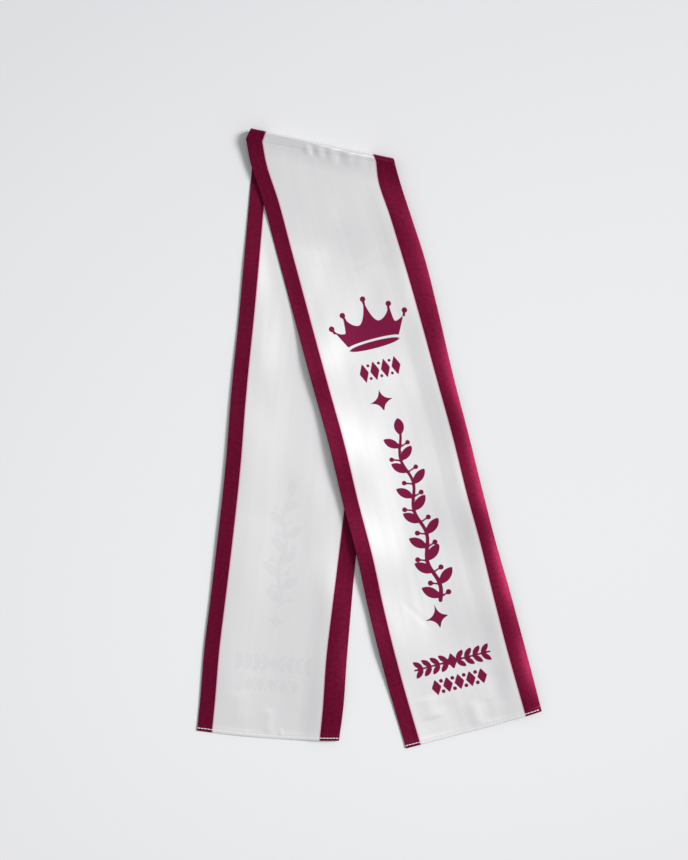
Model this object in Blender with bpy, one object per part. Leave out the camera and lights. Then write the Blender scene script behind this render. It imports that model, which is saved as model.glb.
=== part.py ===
"""Pageant sash, laid flat on a surface.

Two satin legs are sewn together in a V at the neck seam. The rear leg lies face down, rolls
over the fold at the top and ends at the seam just past it. The front leg starts there and lies
face up across the rear one. Each leg is a white panel between two burgundy bands.

Sizes are in millimetres until the points are placed. +X is to the right, +Y towards the fold
and +Z up, with the origin on the surface under the middle of the whole outline.
"""

import math
from typing import NamedTuple

import bmesh
import bpy
import numpy as np

MM = 0.001

# Cloth, as it is cut
WALL = 1.2
SEAM_GAP = 0.3
LAYER_GAP = 0.3
LEFT_BAND = 15.8
WHITE = 113.5
FULL_WIDTH = 150.0
HEM_EXTRA = 0.6
HEM_DEPTH = 4.0
HEM_FADE = 2.0
UPPER_REST = 2.0 * WALL + LAYER_GAP

# The fold at the top: its outermost line in plan, and the roll of cloth along it
FOLD_LEFT = (-123.8, 326.2)
FOLD_TILT = 11.8
FOLD_LENGTH = 152.8
ROLL_RADIUS_LEFT = 7.0
ROLL_RADIUS_RIGHT = 5.0

# How far from the fold line the top of the roll is, and how its height falls away past that:
# part of it soon and the rest slowly
CREST_LEFT = 2.2
CREST_RIGHT = 5.0
SOON_SHARE = 0.25
SOON_REACH = 25.0
SLOW_REACH = 110.0
SLOW_POWER = 1.4

# The neck seam's ends, from the fold's own ends: along the fold line, and away from it
SEAM_LEFT_FROM_FOLD = (-3.3, 12.2)
SEAM_RIGHT_FROM_FOLD = (3.0, 6.9)

# Each leg's edges: length, and degrees from straight down (+ is to the right)
REAR_LEFT_EDGE = (636.1, -5.2)
REAR_RIGHT_EDGE = (615.6, -5.4)
FRONT_LEFT_EDGE = (662.8, 14.6)
FRONT_RIGHT_EDGE = (594.4, 14.9)
REAR_HEM_BOW = 2.6
FRONT_HEM_BOW = 1.2
HEM_BOW_FROM = 0.85

# How the front leg comes off the rear leg's right edge
RIDGE_RISE = 0.4
RIDGE_INSIDE = 50.0
RAMP_OUTSIDE = 56.0

# How far in from its edge a lifted or humped side reaches, and where near the fold it starts
LIFT_REACH = 40.0
ARCH_REACH = 45.0
SIDES_FROM_RADII = 5.0
HUMP_PEAK = (2.0 / 3.0) ** 2 / 3.0

# Grid
PANEL_COLUMNS = 16
BAND_COLUMNS = 4
LEG_ROWS = 40
ROLL_STEPS = 6
WRAP_ROWS = 2
HEM_ROWS = 2

WHITE_SATIN = (0.83, 0.83, 0.84)
BURGUNDY_SATIN = (0.17, 0.012, 0.045)
SATIN_ROUGHNESS = 0.42


class Section(NamedTuple):
    """How a leg lies at one place, given as a share of the way from its top line to its hem."""

    share: float
    left_in: float
    right_in: float
    white_more: float
    left_lift: float
    right_arch: float


# Columns: share, left edge inside its line, right edge inside its line, how much wider the white
# lies than its cut, left edge's lift, right hump
FRONT_SECTIONS = (
    Section(0.00, 0.0, 0.0, -3.2, 0.0, 0.0),
    Section(0.03, -1.6, -0.3, -4.1, 0.0, 0.3),
    Section(0.10, 0.7, -2.5, -4.1, 0.2, 1.4),
    Section(0.17, 0.9, -4.8, -2.4, 0.3, 2.1),
    Section(0.25, 1.3, -4.4, -1.4, 0.4, 1.7),
    Section(0.40, 2.2, -1.8, -1.0, 1.3, 2.1),
    Section(0.50, 3.3, -1.6, -1.2, 1.4, 2.7),
    Section(0.60, 2.0, -0.4, -0.8, 1.2, 2.8),
    Section(0.69, 2.0, 0.0, 0.0, 0.9, 2.8),
    Section(0.77, -0.2, -0.9, 1.4, 0.9, 2.6),
    Section(0.89, -0.8, -1.3, 1.8, 1.0, 2.8),
    Section(1.00, 1.2, -1.1, 1.2, 0.8, 2.0),
)
REAR_SECTIONS = (
    Section(0.00, 0.0, 0.0, 0.0, 0.0, 0.0),
    Section(0.05, 3.4, 0.3, 0.0, 0.4, 0.0),
    Section(0.10, 4.0, 0.6, 0.0, 0.6, 0.0),
    Section(0.18, 4.3, 0.8, 0.0, 0.9, 0.0),
    Section(0.29, 4.5, 0.6, 0.0, 1.1, 0.0),
    Section(0.45, 3.8, 0.2, 0.0, 1.4, 0.0),
    Section(0.55, 4.7, 0.0, 0.0, 1.8, 0.0),
    Section(0.68, 3.4, 0.3, -0.6, 1.7, 0.2),
    Section(0.78, 1.6, 0.2, -0.8, 1.3, 1.0),
    Section(0.86, 0.0, -0.2, -0.4, 1.1, 1.8),
    Section(0.95, 0.3, -1.3, 0.4, 1.0, 1.8),
    Section(1.00, 0.0, 0.0, 0.4, 0.9, 1.2),
)


def smooth(x):
    """Rises from 0 to 1 with level ends."""
    x = np.clip(x, 0.0, 1.0)
    return x * x * (3.0 - 2.0 * x)


def through(rows, column, share):
    """A smooth curve through one column of a table, read at each share."""
    at = np.array([row.share for row in rows])
    value = np.array([getattr(row, column) for row in rows])
    slope = np.gradient(value, at)
    k = np.clip(np.searchsorted(at, share, side="right") - 1, 0, len(at) - 2)
    step = at[k + 1] - at[k]
    x = np.clip((share - at[k]) / step, 0.0, 1.0)
    ends = value[k] + (value[k + 1] - value[k]) * smooth(x)
    bend = slope[k] * x * (1.0 - x) ** 2 - slope[k + 1] * x**2 * (1.0 - x)
    return ends + step * bend


def down_at(degrees):
    """Unit plan direction, turned from straight down towards +X."""
    turn = math.radians(degrees)
    return np.array([math.sin(turn), -math.cos(turn)])


FOLD_ALONG = down_at(90.0 - FOLD_TILT)
FOLD_AWAY = down_at(-FOLD_TILT)
FOLD_START = np.array(FOLD_LEFT)
FOLD_END = FOLD_START + FOLD_LENGTH * FOLD_ALONG


def from_fold(corner, offsets):
    """Plan point at the given offsets along the fold line and away from it."""
    return corner + offsets[0] * FOLD_ALONG + offsets[1] * FOLD_AWAY


SEAM_START = from_fold(FOLD_START, SEAM_LEFT_FROM_FOLD)
SEAM_END = from_fold(FOLD_END, SEAM_RIGHT_FROM_FOLD)


def roll_radius(across):
    """Outer radius of the roll, at a share of the way across."""
    return ROLL_RADIUS_LEFT + (ROLL_RADIUS_RIGHT - ROLL_RADIUS_LEFT) * across


def away_from_fold(plan):
    """How far each plan point lies from the fold's outermost line."""
    return (plan - FOLD_START) @ FOLD_AWAY


def roll_crest(across):
    """How far from the fold line the top of the roll is: near it on the left, where the fold is sharp."""
    return CREST_LEFT + (CREST_RIGHT - CREST_LEFT) * smooth((across - 0.35) / 0.3)


def roll_left(away, across):
    """Share of the roll's height that is left, past the top of the roll."""
    past = np.maximum(away - roll_crest(across), 0.0)
    soon = np.clip(1.0 - past / SOON_REACH, 0.0, 1.0) ** 2
    slow = np.clip(1.0 - past / SLOW_REACH, 0.0, 1.0) ** SLOW_POWER
    return SOON_SHARE * soon + (1.0 - SOON_SHARE) * slow


class Leg:
    """One leg in plan: a ruled sheet from its top line to its hem."""

    def __init__(self, top, left_edge, right_edge, sections, hem_bow):
        self.top = top
        self.hem = tuple(
            corner + edge[0] * down_at(edge[1]) for corner, edge in zip(top, (left_edge, right_edge))
        )
        self.down = down_at((left_edge[1] + right_edge[1]) / 2.0)
        self.side = np.array([-self.down[1], self.down[0]])
        self.sections = sections
        self.hem_bow = hem_bow

    def edges(self, share):
        """The left and right edge points at each share of the length."""
        found = []
        for side, column, sign in ((0, "left_in", 1.0), (1, "right_in", -1.0)):
            inward = sign * through(self.sections, column, share)
            straight = self.top[side] + share[..., None] * (self.hem[side] - self.top[side])
            found.append(straight + inward[..., None] * self.side)
        return found

    def plan(self, cut, share):
        """Plan points, and each one's share of the way across. cut is measured across the cloth."""
        left, right = self.edges(share)
        width = (right - left) @ self.side
        white = WHITE + through(self.sections, "white_more", share)
        inner = np.minimum(cut, LEFT_BAND) + np.clip(cut - LEFT_BAND, 0.0, WHITE) * white / WHITE
        outer = np.clip((cut - LEFT_BAND - WHITE) / (FULL_WIDTH - LEFT_BAND - WHITE), 0.0, 1.0)
        across = inner / width + outer * (1.0 - (LEFT_BAND + white) / width)
        bow = self.hem_bow * np.sin(np.pi * across) * smooth((share - HEM_BOW_FROM) / (1.0 - HEM_BOW_FROM))
        plan = left + across[..., None] * (right - left) + bow[..., None] * self.down
        return plan, across

    def sides(self, cut, share):
        """Height that the lifted left edge and the humped right band add."""
        near_left = np.clip(1.0 - cut / LIFT_REACH, 0.0, 1.0)
        near_right = np.clip(1.0 - (FULL_WIDTH - cut) / ARCH_REACH, 0.0, 1.0)
        hump = near_right**2 * (1.0 - near_right) / HUMP_PEAK
        lift = np.maximum(through(self.sections, "left_lift", share), 0.0)
        arch = np.maximum(through(self.sections, "right_arch", share), 0.0)
        return lift * near_left**2 + arch * hump


REAR = Leg((FOLD_START, FOLD_END), REAR_LEFT_EDGE, REAR_RIGHT_EDGE, REAR_SECTIONS, REAR_HEM_BOW)
FRONT = Leg((SEAM_START, SEAM_END), FRONT_LEFT_EDGE, FRONT_RIGHT_EDGE, FRONT_SECTIONS, FRONT_HEM_BOW)


def with_height(plan, height):
    """Plan points and heights as 3-D points."""
    return np.concatenate([plan, height[..., None]], axis=-1)


def rear_flat_row(cut, share):
    """A row of the rear leg's outer face where it lies on the surface."""
    plan, across = REAR.plan(cut, share)
    radius = roll_radius(across)
    clear = smooth(away_from_fold(plan) / radius / SIDES_FROM_RADII - 1.0)
    return with_height(plan, clear * REAR.sides(cut, share))


def rear_under_row(cut, turn):
    """A row of the roll's lower half, turn radians past its outermost line."""
    hem_plan, _ = REAR.plan(cut, np.ones_like(cut))
    _, across = REAR.plan(cut, np.zeros_like(cut))
    radius = roll_radius(across)
    away = radius * (1.0 - math.cos(turn))
    plan, _ = REAR.plan(cut, away / away_from_fold(hem_plan))
    return with_height(plan, radius * (1.0 - math.sin(turn)))


def rear_over_row(cut, away, height):
    """A row above the surface, at a distance from the fold line on the way to the seam."""
    top_plan, _ = REAR.plan(cut, np.zeros_like(cut))
    seam_plan, _ = FRONT.plan(cut, np.zeros_like(cut))
    part = away / away_from_fold(seam_plan)
    return with_height(top_plan + part[:, None] * (seam_plan - top_plan), height)


def rear_sheet(cut):
    """Outer face of the rear leg, a row of points for each station from the hem to the seam."""
    hem_shares = 1.0 - np.array([0.0, HEM_DEPTH, HEM_DEPTH + HEM_FADE]) / REAR_LEFT_EDGE[0]
    flat_shares = np.linspace(1.0, 0.0, LEG_ROWS + 1)[1:-1]
    turns = np.linspace(0.0, math.pi / 2.0, ROLL_STEPS + 1)
    rows = [rear_flat_row(cut, np.full_like(cut, share)) for share in (*hem_shares, *flat_shares)]
    rows += [rear_under_row(cut, turn) for turn in turns[::-1]]
    _, across = REAR.plan(cut, np.zeros_like(cut))
    radius = roll_radius(across)
    crest = roll_crest(across)
    for turn in turns[1:]:
        rows.append(rear_over_row(cut, crest * (1.0 - math.cos(turn)), radius * (1.0 + math.sin(turn))))
    seam_plan, _ = FRONT.plan(cut, np.zeros_like(cut))
    past_crest = away_from_fold(seam_plan) - SEAM_GAP / 2.0 - crest
    for part in np.linspace(0.0, 1.0, WRAP_ROWS + 1)[1:]:
        away = crest + part * past_crest
        height = UPPER_REST + (2.0 * radius - UPPER_REST) * roll_left(away, across)
        rows.append(rear_over_row(cut, away, height))
    return np.array(rows)


def front_rest(plan):
    """Height of the front leg's underside where it has settled: on the rear leg, or on the surface."""
    right_edge = REAR.hem[1] - REAR.top[1]
    right_edge = right_edge / np.linalg.norm(right_edge)
    outside = (plan - REAR.top[1]) @ np.array([-right_edge[1], right_edge[0]])
    on_rear = WALL + LAYER_GAP + RIDGE_RISE * smooth(1.0 + outside / RIDGE_INSIDE)
    return on_rear * (1.0 - smooth(outside / RAMP_OUTSIDE))


def front_sheet(cut):
    """Underside of the front leg, a row of points for each station from the seam to the hem."""
    long_side = FRONT_LEFT_EDGE[0]
    start = SEAM_GAP / 2.0 / long_side
    hem_rows = 1.0 - np.array([HEM_DEPTH + HEM_FADE, HEM_DEPTH, 0.0]) / long_side
    rows = []
    for share in np.concatenate([np.linspace(start, 1.0, LEG_ROWS + 1)[:-1], hem_rows]):
        along = np.full_like(cut, share)
        plan, across = FRONT.plan(cut, along)
        rest = front_rest(plan)
        radius = roll_radius(across)
        raised = roll_left(away_from_fold(plan), across)
        height = rest + (2.0 * radius - WALL - rest) * raised
        rows.append(with_height(plan, height + (1.0 - raised) * FRONT.sides(cut, along)))
    return np.array(rows)


def satin(name, colour):
    """Principled satin."""
    material = bpy.data.materials.new(name)
    material.use_nodes = True
    shader = material.node_tree.nodes["Principled BSDF"]
    shader.inputs["Base Color"].default_value = (*colour, 1.0)
    shader.inputs["Roughness"].default_value = SATIN_ROUGHNESS
    shader.inputs["Metallic"].default_value = 0.0
    return material


def add_strip(name, points, hem_first, colour):
    """One strip as a grid on its outer face or underside, thickened by a modifier, more at the hem."""
    row_count, column_count = points.shape[:2]
    mesh = bpy.data.meshes.new(name)
    grid = bmesh.new()
    corners = [[grid.verts.new(point * MM) for point in row] for row in points]
    for i in range(row_count - 1):
        for j in range(column_count - 1):
            loop = (corners[i][j], corners[i][j + 1], corners[i + 1][j + 1], corners[i + 1][j])
            grid.faces.new(loop if hem_first else loop[::-1])
    grid.to_mesh(mesh)
    grid.free()
    mesh.shade_smooth()
    strip = bpy.data.objects.new(name, mesh)
    bpy.context.scene.collection.objects.link(strip)
    mesh.materials.append(satin(f"{name}_satin", colour))
    hem = strip.vertex_groups.new(name="hem")
    hem_rows = range(HEM_ROWS) if hem_first else range(row_count - HEM_ROWS, row_count)
    hem.add([i * column_count + j for i in hem_rows for j in range(column_count)], 1.0, "REPLACE")
    wall = strip.modifiers.new("wall", "SOLIDIFY")
    wall.thickness = (WALL + HEM_EXTRA) * MM
    wall.vertex_group = hem.name
    wall.thickness_vertex_group = WALL / (WALL + HEM_EXTRA)
    wall.offset = 1.0
    wall.use_even_offset = True
    return strip


def cuts():
    """Each strip's name, the cloth across it, and its colour, from left to right."""
    half = SEAM_GAP / 2.0
    right_seam = LEFT_BAND + WHITE
    return (
        ("band_left", np.linspace(0.0, LEFT_BAND - half, BAND_COLUMNS + 1), BURGUNDY_SATIN),
        ("panel", np.linspace(LEFT_BAND + half, right_seam - half, PANEL_COLUMNS + 1), WHITE_SATIN),
        ("band_right", np.linspace(right_seam + half, FULL_WIDTH, BAND_COLUMNS + 1), BURGUNDY_SATIN),
    )


def main():
    """Clears the scene and adds the six strips."""
    for old in list(bpy.data.objects):
        bpy.data.objects.remove(old, do_unlink=True)
    for piece, cut, colour in cuts():
        add_strip(f"rear_{piece}", rear_sheet(cut), True, colour)
        add_strip(f"front_{piece}", front_sheet(cut), False, colour)


main()
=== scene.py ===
"""Pageant sash laid flat in a V: its satin, its print, its hem stitches and the studio round it.

Cloth sizes are in millimetres until the points are placed, and each leg repeats the lay of its
CAD solids. Points and directions in plan are complex numbers, x + y * 1j. Across and up are a leg's
own directions in plan: across from its middle line to the right, up from the middle of its hem.
"""

import logging
import math
from dataclasses import dataclass, field
from enum import Enum
from typing import NamedTuple

import bpy
import numpy as np
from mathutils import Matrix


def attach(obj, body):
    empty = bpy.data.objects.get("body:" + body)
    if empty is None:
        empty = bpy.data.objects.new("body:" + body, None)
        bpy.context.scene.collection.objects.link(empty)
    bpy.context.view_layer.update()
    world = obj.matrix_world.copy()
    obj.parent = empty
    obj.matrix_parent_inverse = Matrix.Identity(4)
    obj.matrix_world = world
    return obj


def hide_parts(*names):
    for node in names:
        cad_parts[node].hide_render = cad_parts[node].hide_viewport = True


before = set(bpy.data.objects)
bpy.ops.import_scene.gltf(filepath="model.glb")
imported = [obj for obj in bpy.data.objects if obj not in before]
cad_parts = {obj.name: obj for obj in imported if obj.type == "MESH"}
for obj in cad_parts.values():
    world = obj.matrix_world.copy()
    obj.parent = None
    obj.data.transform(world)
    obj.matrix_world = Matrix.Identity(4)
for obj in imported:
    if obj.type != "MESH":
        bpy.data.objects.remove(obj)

log = logging.getLogger("pageant_sash")

Array = np.ndarray
Point = tuple[float, float]
Colour = tuple[float, float, float]
Tree = bpy.types.NodeTree
Socket = bpy.types.NodeSocket

MM = 0.001
# The distance inside the print is kept up to this far from its edge, in millimetres
PRINT_REACH = 3.0
# Edges that turn by more than this stay sharp, in degrees
SHARP_FROM = 56.0
# How a crease wanders to its sides and how uneven it is, as shares of its width and height, over these
# lengths in millimetres, and the share of its length over which it fades at each end
WANDER, WANDER_LENGTH = 0.12, 23.0
UNEVEN, UNEVEN_LENGTH = 0.25, 17.0
CREASE_FADE = 0.22
# Distances of the first rows of points from a hem, in millimetres, beside the row under the stitches
HEM_ROWS = (0.0, 0.25, 0.7, 1.3, 2.0, 2.6, 3.4, 4.2, 5.2, 6.0, 6.8, 8.0)
# The dye that has run from the bands into the white
RUN_DYE: Colour = (0.66, 0.10, 0.26)
NODES_A_ROW, NODE_SPACING = 8, (220.0, 320.0)


def smooth(x: Array) -> Array:
    """Rises from 0 to 1 with level ends."""
    x = np.clip(x, 0.0, 1.0)
    return x * x * (3.0 - 2.0 * x)


def unit(vector: Array) -> Array:
    """Vectors of length 1 in the same directions."""
    return vector / np.linalg.norm(vector, axis=-1, keepdims=True)


def bell(x: Array) -> Array:
    """A smooth bump of height 1 at 0 that is nearly gone at 2."""
    return np.exp(-(x**2))


def down_at(degrees: float) -> complex:
    """Plan direction of length 1, turned from straight down towards +X."""
    return complex(math.sin(math.radians(degrees)), -math.cos(math.radians(degrees)))


def through(rows: tuple, column: str, share: Array) -> Array:
    """Reads a smooth curve through one column of a table.

    Args:
        rows: Table rows with a share column, in rising order.
        column: Name of the column to read.
        share: Where to read it.

    Returns:
        The column's value at each share.
    """
    at = np.array([row.share for row in rows])
    value = np.array([getattr(row, column) for row in rows])
    slope = np.gradient(value, at)
    k = np.clip(np.searchsorted(at, share, side="right") - 1, 0, len(at) - 2)
    step = at[k + 1] - at[k]
    x = np.clip((share - at[k]) / step, 0.0, 1.0)
    ends = value[k] + (value[k + 1] - value[k]) * smooth(x)
    bend = slope[k] * x * (1.0 - x) ** 2 - slope[k + 1] * x**2 * (1.0 - x)
    return ends + step * bend


def with_height(plan: Array, height: Array) -> Array:
    """Plan points and heights as 3-D points."""
    return np.stack([plan.real, plan.imag, height], axis=-1)


def from_line(start: complex, end: complex, at: Array) -> tuple[Array, Array]:
    """How far along a straight line points lie, as a share of it, and how far from it."""
    local = (at - start) / (end - start)
    part = np.clip(local.real, 0.0, 1.0)
    return part, np.abs(local - part) * abs(end - start)


class Motif:
    """A printed shape, known by how far inside it a point is. Each point is across + up * 1j."""

    def edge(self, at: Array) -> Array:
        """Millimetres inside the shape, and less than nothing outside it."""
        raise NotImplementedError


@dataclass(frozen=True)
class Oval(Motif):
    """A filled circle or a flat oval."""

    middle: complex
    half: complex

    def edge(self, at: Array) -> Array:
        """Millimetres inside the oval."""
        off = at - self.middle
        return (1.0 - np.hypot(off.real / self.half.real, off.imag / self.half.imag)) * self.half.imag


@dataclass(frozen=True)
class Lozenge(Motif):
    """An upright diamond."""

    middle: complex
    half: complex

    def edge(self, at: Array) -> Array:
        """Millimetres inside the diamond."""
        off = at - self.middle
        outwards = np.abs(off.real) / self.half.real + np.abs(off.imag) / self.half.imag
        return (1.0 - outwards) * self.half.real * self.half.imag / abs(self.half)


@dataclass(frozen=True)
class Star(Motif):
    """A four-pointed star with hollow sides."""

    middle: complex
    reach: float
    hollow: float = 0.5
    tip: float = 0.8
    slope: float = 0.45

    def edge(self, at: Array) -> Array:
        """Millimetres inside the star."""
        off = at - self.middle
        outwards = sum((np.abs(x) / self.reach) ** self.hollow for x in (off.real, off.imag))
        points = (1.0 - outwards ** (1.0 / self.hollow)) * self.reach * self.slope
        return np.minimum(points, self.reach - self.tip - np.abs(off)) + self.tip


@dataclass(frozen=True)
class Leaf(Motif):
    """A pointed leaf between two ends."""

    root: complex
    tip: complex
    half_width: float

    def edge(self, at: Array) -> Array:
        """Millimetres inside the leaf."""
        step = self.tip - self.root
        half_length = abs(step) / 2.0
        local = (at - (self.root + self.tip) / 2.0) * abs(step) / step
        radius = (half_length**2 + self.half_width**2) / (2.0 * self.half_width)
        return radius - np.hypot(local.real, np.abs(local.imag) + radius - self.half_width)


@dataclass(frozen=True)
class Stroke(Motif):
    """A drawn line whose width changes from one end to the other."""

    points: tuple[complex, ...]
    half_widths: Point

    def edge(self, at: Array) -> Array:
        """Millimetres inside the line."""
        found = []
        first, last = self.half_widths
        for i, ends in enumerate(zip(self.points, self.points[1:])):
            part, away = from_line(*ends, at)
            found.append(first + (last - first) * (i + part) / (len(self.points) - 1) - away)
        return np.max(found, axis=0)


@dataclass(frozen=True)
class Outline(Motif):
    """A filled shape with straight sides."""

    corners: list[complex]

    def edge(self, at: Array) -> Array:
        """Millimetres inside the outline."""
        nearest = np.full(at.shape, np.inf)
        inside = np.zeros(at.shape, dtype=bool)
        for start, end in zip(self.corners, [*self.corners[1:], self.corners[0]]):
            nearest = np.minimum(nearest, from_line(start, end, at)[1])
            step, off = end - start, at - start
            if step.imag != 0.0:
                crosses = (start.imag > at.imag) != (end.imag > at.imag)
                inside ^= crosses & (off.real < off.imag * step.real / step.imag)
        return np.where(inside, nearest, -nearest)


class Ornament(Motif):
    """A printed shape made of simpler ones."""

    def parts(self) -> list[Motif]:
        """The simpler shapes."""
        raise NotImplementedError

    def edge(self, at: Array) -> Array:
        """Millimetres inside the nearest part."""
        return np.max([part.edge(at) for part in self.parts()], axis=0)


@dataclass(frozen=True)
class Crown(Ornament):
    """A five-pointed crown with a ball on each point and an oval rim under it."""

    foot: complex
    rim: complex = 27.2 + 3.9j
    body_rise: float = 7.2
    body_bow: float = 3.0
    ball: complex = 3.0 + 3.0j
    neck: Point = (0.8, 1.44)
    neck_lean: float = 0.95
    neck_length: float = 5.0
    hollow: float = 0.72
    tips: tuple[complex, ...] = (-39.6 + 31.0j, -25.0 + 42.0j, 53.4j, 25.0 + 42.0j, 39.6 + 31.0j)
    valleys: tuple[complex, ...] = (-27.0 + 22.4j, -11.0 + 27.4j, 11.0 + 27.4j, 27.0 + 22.4j)

    def hollow_side(self, start: complex, end: complex) -> list[complex]:
        """The corners of the hollow side between a point and a valley, after its start and up to its end."""
        found = []
        for turn in np.linspace(0.0, math.pi / 2.0, 13)[1:]:
            bow, rise = math.sin(turn), 1.0 - math.cos(turn)
            lean, part = (bow, rise) if end.imag > start.imag else (rise, bow)
            lean = self.hollow * lean + (1.0 - self.hollow) * part
            found.append(start + complex((end - start).real * lean, (end - start).imag * part))
        return found

    def body(self) -> list[complex]:
        """The outline of the crown's body, from its left foot over the points to its right foot."""
        corners = [complex(-self.rim.real, self.body_rise), self.tips[0]]
        for start, valley, end in zip(self.tips, self.valleys, self.tips[1:]):
            corners += self.hollow_side(start, valley) + self.hollow_side(valley, end)
        for turn in np.linspace(0.0, math.pi, 25)[:-1]:
            bow = self.body_bow * math.sin(turn)
            corners.append(complex(self.rim.real * math.cos(turn), self.body_rise + bow))
        return corners

    def parts(self) -> list[Motif]:
        """The body, the rim, and the balls on their necks."""
        found: list[Motif] = [Outline([self.foot + corner for corner in self.body()])]
        found.append(Oval(self.foot + complex(0.0, self.rim.imag), self.rim))
        for tip in self.tips:
            root = self.foot + complex(tip.real * self.neck_lean, tip.imag - self.neck_length)
            found += [Oval(self.foot + tip, self.ball), Stroke((self.foot + tip, root), self.neck)]
        return found


@dataclass(frozen=True)
class Vine(Ornament):
    """A climbing stem with a broad leaf to each side in turn, and a berry across from each leaf."""

    across: float
    low: float
    high: float
    sway: float = 3.4
    wave: float = 56.0
    stem: Point = (1.36, 2.21)
    top_leaf: complex = 1.5 + 18.0j
    leaf_pitch: float = 13.6
    leaf_length: float = 22.5
    leaf_half_width: float = 5.2
    leaf_turn: float = 50.0
    leaf_shrink: float = 0.16
    first_leaf: float = 3.0
    berry: complex = 2.9 + 2.9j
    berry_at: complex = 9.4 + 3.4j
    stalk: Point = (0.9, 0.9)

    def stem_at(self, up: float) -> complex:
        """Where the stem is."""
        return complex(self.across + self.sway * math.sin(2.0 * math.pi * (self.high - up) / self.wave), up)

    def parts(self) -> list[Motif]:
        """The stem, the leaves and the berries."""
        top = self.high - self.top_leaf.imag
        line = tuple(self.stem_at(up) for up in np.linspace(top, self.low, 50))
        found = [Stroke(line, self.stem), Leaf(line[0], line[0] + self.top_leaf, self.leaf_half_width)]
        count = int((top - self.low) / self.leaf_pitch)
        turn = math.radians(self.leaf_turn)
        for i in range(count):
            side = 1.0 if i % 2 else -1.0
            root = self.stem_at(self.low + self.first_leaf + i * self.leaf_pitch)
            size = 1.0 - self.leaf_shrink * i / count
            tip = root + size * self.leaf_length * complex(side * math.sin(turn), math.cos(turn))
            berry = root + complex(-side * self.berry_at.real, self.berry_at.imag)
            found.append(Leaf(root, tip, self.leaf_half_width * size))
            found += [Oval(berry, self.berry * size), Stroke((root, berry), self.stalk)]
        return found


@dataclass(frozen=True)
class LeafRow(Ornament):
    """A level row of leaf pairs that point away from a diamond in the middle."""

    middle: complex
    half: complex
    pairs: int
    heart: float = 0.62
    stalk: Point = (1.0, 0.9)
    leaf: float = 0.31
    leaf_from: float = 0.15
    leaf_reach: float = 1.02

    def parts(self) -> list[Motif]:
        """The diamond, the stalks and the leaves."""
        heart = self.half.imag * self.heart
        found: list[Motif] = [Lozenge(self.middle, complex(heart, self.half.imag))]
        pitch = (self.half.real - heart) / self.pairs
        for side in (-1.0, 1.0):
            found.append(Stroke((self.middle, self.middle + side * (self.half.real - 1.0)), self.stalk))
            for i in range(self.pairs):
                foot = self.middle + side * (heart + (i - self.leaf_from) * pitch)
                for rise in (-1.0, 1.0):
                    tip = foot + complex(side * pitch * self.leaf_reach, rise * self.half.imag)
                    found.append(Leaf(foot, tip, pitch * self.leaf))
        return found


@dataclass(frozen=True)
class LozengeRow(Ornament):
    """A level row of diamonds with two dots between each two."""

    middle: complex
    half: complex
    count: int
    dot: float
    plump: float = 0.43
    dot_rise: float = 0.66

    def parts(self) -> list[Motif]:
        """The diamonds and the dots."""
        pitch = 2.0 * self.half.real / self.count
        found: list[Motif] = []
        for i in range(self.count):
            middle = self.middle - self.half.real + (i + 0.5) * pitch
            found.append(Lozenge(middle, complex(pitch * self.plump, self.half.imag)))
            for side in (-1.0, 1.0) if i > 0 else ():
                dot = middle + complex(-pitch / 2.0, side * self.half.imag * self.dot_rise)
                found.append(Oval(dot, complex(self.dot, self.dot)))
        return found


FRONT_PRINT: tuple[Motif, ...] = (
    Crown(3.4 + 414.8j),
    LozengeRow(2.4 + 392.0j, 23.0 + 10.5j, 4, 1.7),
    Star(-4.6 + 359.5j, 13.8),
    Vine(2.5, 141.0, 338.0),
    Star(-5.3 + 124.0j, 14.2),
    LeafRow(-2.3 + 76.0j, 42.0 + 9.0j, 4),
    LozengeRow(-0.5 + 53.0j, 31.0 + 8.6j, 5, 2.1),
)
REAR_PRINT: tuple[Motif, ...] = (
    Vine(-2.5, 138.0, 272.0),
    Star(-2.0 + 121.0j, 12.0),
    LeafRow(-1.0 + 76.0j, 42.0 + 9.0j, 4),
    LozengeRow(-1.0 + 53.0j, 30.0 + 7.6j, 5, 1.8),
)


@dataclass(frozen=True)
class Cloth:
    """Sizes of the cut, in millimetres."""

    left_band: float = 15.8
    white: float = 113.5
    full: float = 150.0
    wall: float = 0.9
    layer_gap: float = 0.2
    seam_gap: float = 0.03
    seam_lap: float = 0.12
    hem_extra: float = 0.2
    hem_depth: float = 4.4
    hem_fade: float = 3.6
    stitch_groove: float = 0.1
    stitch_line: float = 3.0
    groove_half_width: float = 0.55

    @property
    def right_seam(self) -> float:
        """Where the right seam is."""
        return self.left_band + self.white


CLOTH = Cloth()


class Section(NamedTuple):
    """How a leg lies at one place, as a share of the way from its top line to its hem."""

    share: float
    left_in: float
    right_in: float
    white_more: float
    left_lift: float
    right_arch: float


class Crease(NamedTuple):
    """A soft ridge, or a trough where the height is under nothing, along a line in a leg's plan."""

    across_from: float
    up_from: float
    across_to: float
    up_to: float
    half_width: float
    height: float

    def rise(self, at: Array) -> Array:
        """Height that it adds at points of its leg."""
        start = complex(self.across_from, self.up_from)
        step = complex(self.across_to, self.up_to) - start
        length = abs(step)
        local = (at - start) * length / step
        along, aside = local.real, local.imag
        bend = WANDER * self.half_width * np.sin(along / WANDER_LENGTH + self.height)
        faded = CREASE_FADE * length
        fade = smooth(along / faded) * smooth((length - along) / faded)
        uneven = 1.0 + UNEVEN * np.sin(along / UNEVEN_LENGTH + self.across_from)
        return self.height * uneven * fade * bell((aside + bend) / self.half_width)


class Wave(NamedTuple):
    """Slack in the cloth, as a slow wave over a leg."""

    across_length: float
    up_length: float
    start: float
    height: float

    def rise(self, at: Array) -> Array:
        """Height that it adds at points of its leg."""
        waves = at.real / self.across_length + at.imag / self.up_length
        return self.height * 0.5 * (1.0 + np.sin(2.0 * np.pi * waves + math.radians(self.start)))


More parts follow.
